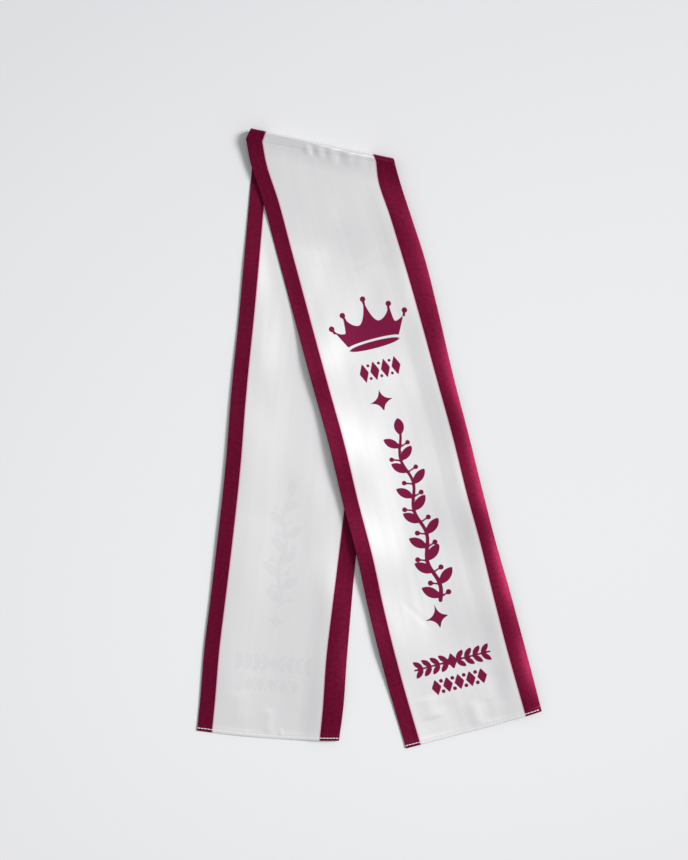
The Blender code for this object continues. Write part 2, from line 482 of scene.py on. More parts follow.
class Pucker(NamedTuple):
    """A gather at the neck seam: where along the seam, its width, its reach on both sides and height."""

    along: float
    half_width: float
    before: float
    after: float
    height: float


def rows_of(kind: type, *rows: tuple[float, ...]) -> tuple:
    """Rows of numbers as rows whose columns have names."""
    return tuple(kind(*row) for row in rows)


# Columns: share, left edge inside its line, right edge inside its line, how much wider the white
# lies than its cut, left edge's lift, right hump
FRONT_SECTIONS = rows_of(
    Section,
    (0, 0, 0, -3.2, 0, 0),
    (0.03, -1.6, -0.3, -4.1, 0, 0.3),
    (0.1, 0.7, -2.5, -4.1, 0.2, 1.5),
    (0.17, 0.9, -4.8, -2.4, 0.3, 1.5),
    (0.25, 1.3, -4.4, -1.4, 0.4, 1.2),
    (0.4, 2.2, -1.8, -1, 1.3, 2.1),
    (0.5, 3.3, -1.6, -1.2, 1.4, 2.1),
    (0.6, 2, -0.4, -0.8, 1.2, 2),
    (0.69, 2, 0, 0, 0.4, 2.6),
    (0.77, -0.2, -0.9, 1.4, 0.2, 2.3),
    (0.89, -0.8, -1.3, 1.8, 0.7, 3),
    (1, 1.2, -1.1, 1.2, 0.8, 2),
)
REAR_SECTIONS = rows_of(
    Section,
    (0, 0, 0, 0, 0, 0),
    (0.05, 3.4, 0.3, 0, 0.4, 0),
    (0.1, 4, 0.6, 0, 0.6, 0),
    (0.18, 4.3, 0.8, 0, 0.9, 0),
    (0.29, 4.5, 0.6, 0, 1.1, 0),
    (0.45, 3.8, 0.2, 0, 1.4, 0),
    (0.55, 4.7, 0, 0, 1.8, 0),
    (0.68, 3.4, 0.3, -0.6, 1.7, 0.2),
    (0.78, 1.6, 0.2, -0.8, 1.3, 1),
    (0.86, 0, -0.2, -0.4, 1, 2.6),
    (0.95, 0.3, -1.3, 0.4, 0.8, 2.8),
    (1, 0, 0, 0.4, 0.7, 1.8),
)
# Columns: from (across, up), to (across, up), half width, height
FRONT_CREASES = rows_of(
    Crease,
    (-72, 500, -76, 20, 60, 3.2),
    (-78, 480, -80, 110, 46, 1.4),
    (-72, 400, -76, 190, 32, 0.5),
    (72, 640, 64, -80, 60, 3.4),
    (60, 300, 56, -60, 46, 2),
    (-42, 580, -44, 340, 16, 0.35),
    (-2, 560, 0, 430, 30, -0.6),
    (-16, 540, -8, 430, 26, 0.6),
    (1, 500, 47, 514, 3, 0.16),
    (-38, 152, -13, 113, 3.2, -0.1),
    (-28, 340, -38, 160, 13, 0.25),
    (-38, 48, -36, 20, 9, 0.45),
    (-22, 40, -12, 8, 8, -0.3),
    (6, 32, 8, 2, 7, 0.45),
    (22, 30, 20, 4, 7, -0.3),
    (40, 56, 36, 16, 9, -0.3),
)
REAR_CREASES = rows_of(
    Crease,
    (-45, 640, -46, -60, 24, 1.5),
    (-46, 380, -46, 60, 26, 0.8),
    (66, 560, 66, -120, 40, 2.4),
    (-20, 470, -24, 260, 14, 0.35),
    (-30, 240, -26, 60, 16, 0.4),
    (16, 260, 10, 90, 18, 0.3),
    (-36, 46, -32, 8, 9, 0.3),
    (-1, 30, 0, 1, 5, 0.5),
    (13.5, 9, 13.5, 0.5, 2.2, 0.3),
    (30, 34, 32, 4, 9, -0.25),
)
# Columns: length across, length up, start in degrees, height
FRONT_WAVES = rows_of(
    Wave,
    (84, 170, 40, 0.22),
    (-66, 104, 160, 0.25),
    (58, -76, 265, 0.14),
    (-31, 52, 20, 0.05),
)
REAR_WAVES = rows_of(
    Wave,
    (80, 210, 200, 0.32),
    (-60, 120, 75, 0.22),
    (52, -84, 310, 0.14),
    (-29, 47, 110, 0.05),
)
# Columns: along the seam, half width, reach before it, reach after it, height
NECK_PUCKERS = rows_of(
    Pucker,
    (26, 7, 6, 16, -0.3),
    (46, 8, 6, 18, -0.3),
    (65, 3, 8, 6, 1.1),
    (71, 2.4, 7, 7, -0.9),
    (78, 3, 9, 7, 1),
    (85, 2.6, 7, 8, -0.5),
    (91, 3.6, 8, 11, 0.8),
    (100, 3.4, 7, 12, -0.8),
    (110, 4.5, 8, 12, 0.9),
    (121, 4, 8, 12, 0.45),
    (130, 3.6, 7, 14, -0.35),
)


@dataclass(frozen=True)
class Fold:
    """The roll of cloth at the top: its outermost line in plan, and its radii."""

    left: complex = -123.8 + 326.2j
    tilt: float = 11.8
    length: float = 152.8
    radius_left: float = 7.0
    radius_right: float = 5.0
    crest_left: float = 2.2
    crest_right: float = 5.0
    crest_from: float = 0.35
    crest_over: float = 0.3
    soon_share: float = 0.25
    soon_reach: float = 25.0
    slow_reach: float = 110.0
    slow_power: float = 1.4
    seam_left: complex = -3.3 + 12.2j
    seam_right: complex = 3.0 + 6.9j
    seam_dip: float = 0.03
    dip_half_width: float = 1.3
    dip_inside: float = 15.0
    dip_fade: float = 8.0

    @property
    def along(self) -> complex:
        """Direction of the fold line."""
        return down_at(90.0 - self.tilt)

    @property
    def away(self) -> complex:
        """Direction away from the fold line, over the sash."""
        return down_at(-self.tilt)

    @property
    def ends(self) -> tuple[complex, complex]:
        """The fold line's two ends."""
        return self.left, self.left + self.length * self.along

    @property
    def seam_ends(self) -> tuple[complex, complex]:
        """The neck seam's two ends: each lies along and away from the fold line's end."""
        left, right = self.seam_left.conjugate(), self.seam_right.conjugate()
        return self.ends[0] + left * self.along, self.ends[1] + right * self.along

    def radius(self, across: Array) -> Array:
        """Outer radius of the roll, at a share of the way across."""
        return self.radius_left + (self.radius_right - self.radius_left) * across

    def crest(self, across: Array) -> Array:
        """How far from the fold line the top of the roll is: near it on the left, where the fold is sharp."""
        part = smooth((across - self.crest_from) / self.crest_over)
        return self.crest_left + (self.crest_right - self.crest_left) * part

    def distance(self, plan: Array) -> Array:
        """How far each plan point lies from the fold line."""
        return ((plan - self.left) / self.away).real

    def left_of_roll(self, away: Array, across: Array) -> Array:
        """Share of the roll's height that is left, past the top of the roll."""
        past = np.maximum(away - self.crest(across), 0.0)
        soon = np.clip(1.0 - past / self.soon_reach, 0.0, 1.0) ** 2
        slow = np.clip(1.0 - past / self.slow_reach, 0.0, 1.0) ** self.slow_power
        return self.soon_share * soon + (1.0 - self.soon_share) * slow

    def pucker(self, plan: Array) -> Array:
        """Height that the gathers at the neck seam and the seam's own dip add."""
        start, end = self.seam_ends
        local = (plan - start) * abs(end - start) / (end - start)
        along, past = local.real, -local.imag
        found = np.zeros(plan.shape)
        for row in NECK_PUCKERS:
            reach = np.where(past < 0.0, row.before, row.after)
            fade = 1.0 - smooth(np.abs(past) / reach)
            found += row.height * bell((along - row.along) / row.half_width) * fade
        from_end = np.minimum(along, self.length - along) - self.dip_inside
        return found - self.seam_dip * bell(past / self.dip_half_width) * smooth(from_end / self.dip_fade)


FOLD = Fold()


@dataclass
class Leg:
    """One leg in plan: a ruled sheet from its top line to its hem, with its creases and its print."""

    name: str
    top: tuple[complex, complex]
    left_edge: Point
    right_edge: Point
    sections: tuple[Section, ...]
    creases: tuple[Crease, ...]
    waves: tuple[Wave, ...]
    motifs: tuple[Motif, ...]
    flat_lengths: tuple[float, float, float]
    hem_bow: float
    hem_bow_from: float = 0.85
    lift_reach: float = 40.0
    arch_reach: float = 45.0
    wave_reach: float = 66.0
    wave_fade: float = 16.0

    def __post_init__(self) -> None:
        """Works out the hem's ends and the leg's own directions."""
        edges = (self.left_edge, self.right_edge)
        self.hem = tuple(corner + edge[0] * down_at(edge[1]) for corner, edge in zip(self.top, edges))
        self.down = down_at((self.left_edge[1] + self.right_edge[1]) / 2.0)
        self.side = 1j * self.down
        self.hem_middle = (self.hem[0] + self.hem[1]) / 2.0

    def read(self, column: str, share: Array) -> Array:
        """A column of the leg's table at each share of the length."""
        return through(self.sections, column, share)

    def top_row(self, cut: Array) -> tuple[Array, Array]:
        """The plan points of the leg's top line, and each one's share of the way across."""
        return self.plan(cut, np.zeros_like(cut))

    def edges(self, share: Array) -> list[Array]:
        """The left and right edge points at each share of the length."""
        found = []
        for side, column, sign in ((0, "left_in", 1.0), (1, "right_in", -1.0)):
            inward = sign * self.read(column, share)
            straight = self.top[side] + share * (self.hem[side] - self.top[side])
            found.append(straight + inward * self.side)
        return found

    def plan(self, cut: Array, share: Array) -> tuple[Array, Array]:
        """Places points of the cloth in plan.

        Args:
            cut: Millimetres across the cloth from its left edge.
            share: Share of the way from the top line to the hem.

        Returns:
            The plan points, and each one's share of the way across.
        """
        left, right = self.edges(share)
        width = ((right - left) / self.side).real
        white = CLOTH.white + self.read("white_more", share)
        inner = np.minimum(cut, CLOTH.left_band)
        inner = inner + np.clip(cut - CLOTH.left_band, 0.0, CLOTH.white) * white / CLOTH.white
        outer = np.clip((cut - CLOTH.right_seam) / (CLOTH.full - CLOTH.right_seam), 0.0, 1.0)
        across = inner / width + outer * (1.0 - (CLOTH.left_band + white) / width)
        near_hem = smooth((share - self.hem_bow_from) / (1.0 - self.hem_bow_from))
        bow = self.hem_bow * np.sin(np.pi * across) * near_hem
        return left + across * (right - left) + bow * self.down, across

    def own(self, plan: Array) -> Array:
        """Plan points as across + up * 1j."""
        return (plan - self.hem_middle) / self.side

    def sides(self, cut: Array, share: Array) -> Array:
        """Height that the lifted left edge and the humped right band add."""
        near_left = np.clip(1.0 - cut / self.lift_reach, 0.0, 1.0)
        near_right = np.clip(1.0 - (CLOTH.full - cut) / self.arch_reach, 0.0, 1.0)
        # The factor makes the hump's top 1
        hump = near_right**2 * (1.0 - near_right) * 27.0 / 4.0
        lift = np.maximum(self.read("left_lift", share), 0.0)
        arch = np.maximum(self.read("right_arch", share), 0.0)
        return lift * near_left**2 + arch * hump

    def slack(self, plan: Array) -> Array:
        """Height of the cloth's slack and creases over where it would lie if pressed flat."""
        at = self.own(plan)
        waves = sum(wave.rise(at) for wave in self.waves)
        waves = waves * smooth((self.wave_reach - np.abs(at.real)) / self.wave_fade)
        return np.maximum(waves + sum(crease.rise(at) for crease in self.creases), 0.0)

    def right_of(self, edge: int, plan: Array) -> Array:
        """How far plan points lie to the right of the straight left edge, 0, or right edge, 1."""
        line = self.hem[edge] - self.top[edge]
        return ((plan - self.top[edge]) * abs(line) / line).imag

    def print_edge(self, plan: Array) -> Array:
        """Millimetres inside the printed shapes, held within the print's reach."""
        found = np.max([motif.edge(self.own(plan)) for motif in self.motifs], axis=0)
        return np.clip(found, -PRINT_REACH, PRINT_REACH)

    def sheet(self, cut: Array) -> "Sheet":
        """The grid of a strip, from one end to the other.

        Args:
            cut: The strip's columns, across the cloth.

        Returns:
            The outer face of the rear leg, or the underside of the front one.
        """
        raise NotImplementedError


@dataclass
class Sheet:
    """A strip's grid: rows of points, with what is needed to give them a wall and a finish."""

    points: Array
    cut: Array
    along: Array
    from_hem: Array
    hem_first: bool


@dataclass
class RearLeg(Leg):
    """The leg underneath. It lies face down, rolls over the fold and ends at the neck seam."""

    sides_from_radii: float = 5.0
    row_step: float = 1.35
    hem_step: float = 1.3
    fold_clear: float = 11.0
    roll_steps: int = 12
    uncovered_at: float = 46.0
    cover_fade: float = 40.0

    def flat_row(self, cut: Array, share: float) -> Array:
        """A row of the outer face where it lies on the surface."""
        along = np.full_like(cut, share)
        plan, across = self.plan(cut, along)
        radius = FOLD.radius(across)
        clear = smooth(FOLD.distance(plan) / radius / self.sides_from_radii - 1.0)
        covered = smooth((FRONT.right_of(0, plan) + self.uncovered_at) / self.cover_fade)
        slack = self.slack(plan) * (1.0 - covered)
        return with_height(plan, clear * (self.sides(cut, along) + slack))

    def under_row(self, cut: Array, turn: float) -> Array:
        """A row of the roll's lower half, turn radians past its outermost line."""
        hem_plan = self.plan(cut, np.ones_like(cut))[0]
        across = self.top_row(cut)[1]
        radius = FOLD.radius(across)
        away = radius * (1.0 - math.cos(turn))
        plan = self.plan(cut, away / FOLD.distance(hem_plan))[0]
        return with_height(plan, radius * (1.0 - math.sin(turn)))

    def over_row(self, cut: Array, away: Array, height: Array) -> Array:
        """A row above the surface, at a distance from the fold line on the way to the seam."""
        top_plan, seam_plan = self.top_row(cut)[0], FRONT.top_row(cut)[0]
        part = away / FOLD.distance(seam_plan)
        plan = top_plan + part * (seam_plan - top_plan)
        return with_height(plan, height + FOLD.pucker(plan))

    def sheet(self, cut: Array) -> Sheet:
        """The outer face, from the hem to the neck seam."""
        long_side = self.left_edge[0]
        further = np.arange(HEM_ROWS[-1] + self.hem_step, long_side - self.fold_clear, self.row_step)
        distances = [*sorted((*HEM_ROWS, CLOTH.stitch_line)), *further]
        rows = [self.flat_row(cut, 1.0 - distance / long_side) for distance in distances]
        turns = np.linspace(0.0, math.pi / 2.0, self.roll_steps + 1)
        rows += [self.under_row(cut, turn) for turn in turns[::-1]]
        across = self.top_row(cut)[1]
        radius = FOLD.radius(across)
        crest = FOLD.crest(across)
        for turn in turns[1:]:
            rows.append(self.over_row(cut, crest * (1.0 - math.cos(turn)), radius * (1.0 + math.sin(turn))))
        past_roll = FOLD.distance(FRONT.top_row(cut)[0]) - CLOTH.seam_gap / 2.0 - crest
        upper_rest = 2.0 * CLOTH.wall + CLOTH.layer_gap
        for part in np.linspace(0.0, 1.0, 10)[1:]:
            away = crest + part * past_roll
            height = upper_rest + (2.0 * radius - upper_rest) * FOLD.left_of_roll(away, across)
            rows.append(self.over_row(cut, away, height))
        points = np.array(rows)
        steps = np.linalg.norm(np.diff(points, axis=0), axis=-1).mean(axis=1)
        along = np.concatenate([[0.0], np.cumsum(steps)])
        return Sheet(points, cut, along, along, True)


@dataclass
class FrontLeg(Leg):
    """The leg on top. It starts at the neck seam, crosses the rear leg and comes down beside it."""

    ridge_rise: float = 0.4
    ridge_inside: float = 50.0
    ramp_outside: float = 56.0
    row_changes: Point = (24.0, 165.0)
    row_steps: tuple[float, float, float] = (0.9, 1.8, 1.2)
    hem_clear: float = 8.6

    def rest(self, plan: Array) -> Array:
        """Height of the underside where it has settled on the rear leg, or on the surface."""
        outside = REAR.right_of(1, plan)
        rise = self.ridge_rise * smooth(1.0 + outside / self.ridge_inside)
        on_rear = CLOTH.wall + CLOTH.layer_gap + rise
        return on_rear * (1.0 - smooth(outside / self.ramp_outside))

    def sheet(self, cut: Array) -> Sheet:
        """The underside, from the neck seam to the hem."""
        long_side = self.left_edge[0]
        starts = (CLOTH.seam_gap / 2.0 - CLOTH.seam_lap, *self.row_changes, long_side - self.hem_clear)
        spans = [np.arange(*span) for span in zip(starts, starts[1:], self.row_steps)]
        near_hem = long_side - np.array(sorted((*HEM_ROWS, CLOTH.stitch_line), reverse=True))
        stations = np.concatenate([*spans, near_hem])
        rows = []
        for station in stations:
            share = np.full_like(cut, station / long_side)
            plan, across = self.plan(cut, share)
            rest = self.rest(plan)
            radius = FOLD.radius(across)
            raised = FOLD.left_of_roll(FOLD.distance(plan), across)
            height = rest + (2.0 * radius - CLOTH.wall - rest) * raised
            height += (1.0 - raised) * (self.sides(cut, share) + self.slack(plan))
            rows.append(with_height(plan, height + FOLD.pucker(plan)))
        return Sheet(np.array(rows), cut, stations, long_side - stations, False)


REAR = RearLeg(
    name="rear",
    top=FOLD.ends,
    left_edge=(636.1, -5.2),
    right_edge=(615.6, -5.4),
    sections=REAR_SECTIONS,
    creases=REAR_CREASES,
    waves=REAR_WAVES,
    motifs=REAR_PRINT,
    flat_lengths=(0.656, 0.648, 0.634),
    hem_bow=2.6,
)
FRONT = FrontLeg(
    name="front",
    top=FOLD.seam_ends,
    left_edge=(662.8, 14.6),
    right_edge=(594.4, 14.9),
    sections=FRONT_SECTIONS,
    creases=FRONT_CREASES,
    waves=FRONT_WAVES,
    motifs=FRONT_PRINT,
    flat_lengths=(0.663, 0.632, 0.599),
    hem_bow=1.2,
)


def feed(node: bpy.types.Node, inputs: dict) -> None:
    """Feeds a node's inputs, each named by its name or number, with sockets or values."""
    for name, value in inputs.items():
        if isinstance(value, Socket):
            node.id_data.links.new(value, node.inputs[name])
        else:
            node.inputs[name].default_value = value


def add_node(tree: Tree, kind: str, inputs: dict | None = None, **settings: object) -> bpy.types.Node:
    """Adds a shader node to the next free place.

    Args:
        tree: The node tree.
        kind: The node's type, without its first word.
        inputs: What feeds its inputs.
        **settings: Properties to set on it.

    Returns:
        The new node.
    """
    row, column = divmod(len(tree.nodes), NODES_A_ROW)
    node = tree.nodes.new(f"ShaderNode{kind}")
    node.location = (column * NODE_SPACING[0], -row * NODE_SPACING[1])
    for name, value in settings.items():
        setattr(node, name, value)
    feed(node, inputs or {})
    return node


def sum_of(tree: Tree, operation: str, first: object, second: object) -> Socket:
    """The result of a new Math node, fed by sockets or numbers."""
    return add_node(tree, "Math", {0: first, 1: second}, operation=operation).outputs[0]


def noise(tree: Tree, where: Socket, scale: object, detail: float, roughness: float = 0.5) -> Socket:
    """The value of a new Noise node."""
    inputs = {"Vector": where, "Scale": scale, "Detail": detail, "Roughness": roughness}
    return add_node(tree, "TexNoise", inputs).outputs["Fac"]


def new_group(name: str, inputs: dict[str, object]) -> tuple[Tree, object]:
    """Starts a shader node group.

    Args:
        name: The group's name.
        inputs: Each input's number at the start, or its kind where it is no number.

    Returns:
        The group, and the sockets that give its inputs inside it.
    """
    group = bpy.data.node_groups.new(name, "ShaderNodeTree")
    for socket, value in inputs.items():
        is_number = isinstance(value, float)
        kind = "NodeSocketFloat" if is_number else f"NodeSocket{value}"
        added = group.interface.new_socket(name=socket, in_out="INPUT", socket_type=kind)
        if is_number:
            added.default_value = value
    return group, group.nodes.new("NodeGroupInput").outputs


def end_group(group: Tree, kind: str, **results: Socket) -> None:
    """Gives a group its outputs, all of one kind."""
    for name in results:
        group.interface.new_socket(name=name, in_out="OUTPUT", socket_type=f"NodeSocket{kind}")
    feed(group.nodes.new("NodeGroupOutput"), results)


def use_group(tree: Tree, name: str, inputs: dict | None = None) -> bpy.types.Node:
    """Adds a shared node group to a tree."""
    return add_node(tree, "Group", inputs, node_tree=bpy.data.node_groups[name])


def weave_group() -> None:
    """Builds the satin weave: long floats side by side, and the slubs and streaks along them.

    Its outputs are the threads' height, a lengthwise streak and a mottle. On the satins the streak and the
    mottle scale the colour: partly the weave's own tone, partly painted sheen.
    """
    group, given = new_group(
        "satin_weave",
        {"Cloth": "Vector", "Thread Pitch": 0.00045, "Streak Width": 0.006, "Mottle Scale": 40.0},
    )
    cloth = add_node(group, "SeparateXYZ", {0: given["Cloth"]}).outputs

    def in_steps(width: Socket, stretch: float) -> Socket:
        """The cloth's measures in steps of a width across, and of a longer length along."""
        length = sum_of(group, "MULTIPLY", width, stretch)
        across = sum_of(group, "DIVIDE", cloth["X"], width)
        along = sum_of(group, "DIVIDE", cloth["Y"], length)
        return add_node(group, "CombineXYZ", {"X": across, "Y": along}).outputs[0]

    floats = add_node(
        group,
        "TexVoronoi",
        {"Vector": in_steps(given["Thread Pitch"], 7.0), "Scale": 1.0, "Randomness": 0.55},
        feature="F1",
    )
    end_group(
        group,
        "Float",
        Height=sum_of(group, "SUBTRACT", 1.0, floats.outputs["Distance"]),
        Streak=noise(group, in_steps(given["Streak Width"], 26.0), 1.0, 3.0, 0.6),
        Mottle=noise(group, given["Cloth"], given["Mottle Scale"], 6.0, 0.8),
    )


def shade_group() -> None:
    """Builds a group that lightens or darkens a colour by two values round one half. On the satins this is
    partly the weave's own tone and partly painted sheen.
    """
    names = ("Streak", "Mottle")
    values = {name: 0.5 for name in names}
    amounts = {f"{name} Amount": 0.1 for name in names}
    group, given = new_group("cloth_shade", {"Color": "Color", **values, **amounts})
    factor: object = 1.0
    for name in names:
        centred = sum_of(group, "SUBTRACT", given[name], 0.5)
        change = sum_of(group, "MULTIPLY", centred, given[f"{name} Amount"])
        factor = sum_of(group, "ADD", change, factor)
    scaled = add_node(group, "VectorMath", {0: given["Color"], "Scale": factor}, operation="SCALE")
    end_group(group, "Color", Color=scaled.outputs[0])


def ink_group() -> None:
    """Builds a group that is 1 in the print on the face, and a trace of it on the back."""
    group, given = new_group("print_ink", {"Edge Softness": 0.25, "Show Through": 0.045})
    edge, back = (
        add_node(group, "Attribute", attribute_name=name).outputs["Fac"] for name in ("print_edge", "back")
    )
    soft = given["Edge Softness"]
    inside = {"Value": edge, "From Min": sum_of(group, "MULTIPLY", soft, -1.0), "From Max": soft}
    ramp = add_node(group, "MapRange", inside, interpolation_type="SMOOTHSTEP")
    strength = add_node(group, "MapRange", {"Value": back, "To Min": 1.0, "To Max": given["Show Through"]})
    ink = sum_of(group, "MULTIPLY", ramp.outputs["Result"], strength.outputs["Result"])
    end_group(group, "Float", Ink=ink)


def dye_group() -> None:
    """Builds a group that tints a colour near both seams of the panel, where dye has run into the white."""
    inputs = {"Cloth": "Vector", "Color": "Color", "Reach": 0.0016, "Strength": 0.7}
    group, given = new_group("seam_dye", inputs)
    half = CLOTH.white * MM / 2.0
    cloth = add_node(group, "SeparateXYZ", {0: given["Cloth"]}).outputs
    offset = sum_of(group, "SUBTRACT", cloth["X"], CLOTH.left_band * MM + half)
    inside = sum_of(group, "SUBTRACT", half, sum_of(group, "ABSOLUTE", offset, 0.0))
    fade = {"Value": inside, "From Max": given["Reach"], "To Min": given["Strength"], "To Max": 0.0}
    part = add_node(group, "MapRange", fade).outputs["Result"]
    mix = {"Factor": part, "A": given["Color"], "B": (*RUN_DYE, 1.0)}
    end_group(group, "Color", Color=add_node(group, "Mix", mix, data_type="RGBA").outputs["Result"])


@dataclass(frozen=True)
class Finish:
    """The look of a surface."""

    name: str
    colour: Colour
    roughness: float

    def material(self) -> bpy.types.Material:
        """Builds the material."""
        material = bpy.data.materials.new(self.name)
        material.use_nodes = True
        tree = material.node_tree
        shade = {"Color": (*self.colour, 1.0)}
        found = {"Roughness": self.roughness, **self.details(tree, shade)}
        shaded = use_group(tree, "cloth_shade", shade).outputs["Color"]
        feed(tree.nodes["Principled BSDF"], {"Base Color": shaded, **found})
        return material

    def details(self, tree: Tree, shade: dict) -> dict:
        """Adds the surface's own nodes.

        Args:
            tree: The material's node tree.
            shade: What feeds the shade group, to which the surface adds its own.

        Returns:
            What feeds the shader beside its colour.
        """
        raise NotImplementedError


@dataclass(frozen=True)
class SatinFinish(Finish):
    """Polyester satin: its colour, the ink printed on it, and its gloss along and across the floats."""

    slot: str
    ink: Colour | None
    metallic: float
    anisotropy: float
    # How much the streak and the mottle scale the colour: partly the weave's own tone, partly painted sheen
    tone_and_sheen_streak: float
    tone_and_sheen_mottle: float
    mottle_scale: float
    specular: float = 0.1
    roughness_range: float = 0.04
    weave_bump: float = 0.00002

    def details(self, tree: Tree, shade: dict) -> dict:
        """Adds the print, the weave and the stretched gloss."""
        cloth = add_node(tree, "UVMap", uv_map="cloth").outputs["UV"]
        weave = use_group(tree, "satin_weave", {"Cloth": cloth, "Mottle Scale": self.mottle_scale})
        height, tone_and_sheen_streak, tone_and_sheen_mottle = weave.outputs
        # The streak and the mottle scale the colour as the weave's own tone and painted sheen; the streak
        # also varies the roughness below
        shade |= {"Streak": tone_and_sheen_streak, "Streak Amount": self.tone_and_sheen_streak}
        shade |= {"Mottle": tone_and_sheen_mottle, "Mottle Amount": self.tone_and_sheen_mottle}
        if self.ink is not None:
            ink = use_group(tree, "print_ink").outputs["Ink"]
            print_mix = {"Factor": ink, "A": shade["Color"], "B": (*self.ink, 1.0)}
            printed = add_node(tree, "Mix", print_mix, data_type="RGBA").outputs["Result"]
            dyed = use_group(tree, "seam_dye", {"Cloth": cloth, "Color": printed})
            shade["Color"] = dyed.outputs["Color"]
        spread = {
            "Value": tone_and_sheen_streak,
            "From Min": 0.3,
            "From Max": 0.7,
            "To Min": self.roughness - self.roughness_range / 2.0,
            "To Max": self.roughness + self.roughness_range / 2.0,
        }
        bump = {"Strength": 0.5, "Distance": self.weave_bump, "Height": height}
        return {
            "Roughness": add_node(tree, "MapRange", spread).outputs["Result"],
            "Normal": add_node(tree, "Bump", bump).outputs["Normal"],
            "Tangent": add_node(tree, "Tangent", direction_type="UV_MAP", uv_map="cloth").outputs["Tangent"],
            "Metallic": self.metallic,
            "Specular IOR Level": self.specular,
            "Anisotropic": self.anisotropy,
        }


@dataclass(frozen=True)
class ThreadFinish(Finish):
    """Matt sewing thread with its twist."""

    slot: str
    twist_pitch: float = 0.0007
    twist_turn: float = 38.0

    def details(self, tree: Tree, shade: dict) -> dict:
        """Adds the twist."""
        place = add_node(tree, "TexCoord").outputs["Object"]
        turn = {"Vector": place, "Rotation": (0.0, 0.0, math.radians(self.twist_turn))}
        turned = add_node(tree, "Mapping", turn).outputs["Vector"]
        wave = {"Vector": turned, "Scale": 0.32 / self.twist_pitch}
        twist = add_node(tree, "TexWave", wave, wave_type="BANDS", bands_direction="X").outputs["Fac"]
        shade |= {"Streak": twist, "Streak Amount": 0.16, "Mottle Amount": 0.0}
        bump = {"Strength": 0.6, "Distance": 0.00005, "Height": twist}
        return {"Normal": add_node(tree, "Bump", bump).outputs["Normal"], "Sheen Weight": 0.15}


@dataclass(frozen=True)
class BoardFinish(Finish):
    """Matt pale board under the sash."""

    def details(self, tree: Tree, shade: dict) -> dict:
        """Adds a faint grain and faint clouds."""
        place = add_node(tree, "TexCoord").outputs["Object"]
        shade |= {
            "Streak": noise(tree, place, 420.0, 2.0),
            "Mottle": noise(tree, place, 1.6, 1.0),
            "Streak Amount": 0.008,
            "Mottle Amount": 0.02,
        }
        return {"Specular IOR Level": 0.25}


WHITE_SATIN = SatinFinish(
    "white_satin_print",
    (0.782, 0.780, 0.786),
    roughness=0.39,
    slot="white_satin",
    ink=(0.20, 0.008, 0.052),
    metallic=0.34,
    anisotropy=0.66,
    tone_and_sheen_streak=0.05,
    tone_and_sheen_mottle=0.03,
    mottle_scale=40.0,
)
BURGUNDY_SATIN = SatinFinish(
    "burgundy_satin_weave",
    (0.145, 0.0034, 0.028),
    roughness=0.4,
    slot="burgundy_satin",
    ink=None,
    metallic=0.5,
    anisotropy=0.66,
    tone_and_sheen_streak=0.2,
    tone_and_sheen_mottle=2.1,
    mottle_scale=260.0,
)
THREAD = ThreadFinish("sewing_thread", (0.85, 0.83, 0.83), roughness=0.7, slot="thread")
BOARD = BoardFinish("pale_board", (0.80, 0.805, 0.82), roughness=0.75)


class Strip(Enum):
    """The three strips that a leg is sewn from, from left to right."""

    BAND_LEFT = "band_left"
    PANEL = "panel"
    BAND_RIGHT = "band_right"

    def columns(self) -> Array:
        """The strip's columns, in millimetres across the cloth, close together at its outer edge."""
        half = CLOTH.seam_gap / 2.0
        edge = np.array([0.0, 0.1, 0.3, 0.6, 1.0, 1.6, 2.4, 3.4])
        if self is Strip.BAND_LEFT:
            return np.concatenate([edge, np.linspace(4.6, CLOTH.left_band - half, 9)])
        if self is Strip.BAND_RIGHT:
            inner = np.linspace(CLOTH.right_seam + half, CLOTH.full - 4.6, 12)
            return np.concatenate([inner, CLOTH.full - edge[::-1]])
        return np.linspace(CLOTH.left_band + half, CLOTH.right_seam - half, 88)

    def from_edge(self, cut: Array) -> Array:
        """Millimetres from the leg's own edge, and far more than it takes where the strip has none."""
        if self is Strip.PANEL:
            return np.full_like(cut, CLOTH.full)
        return cut if self is Strip.BAND_LEFT else CLOTH.full - cut


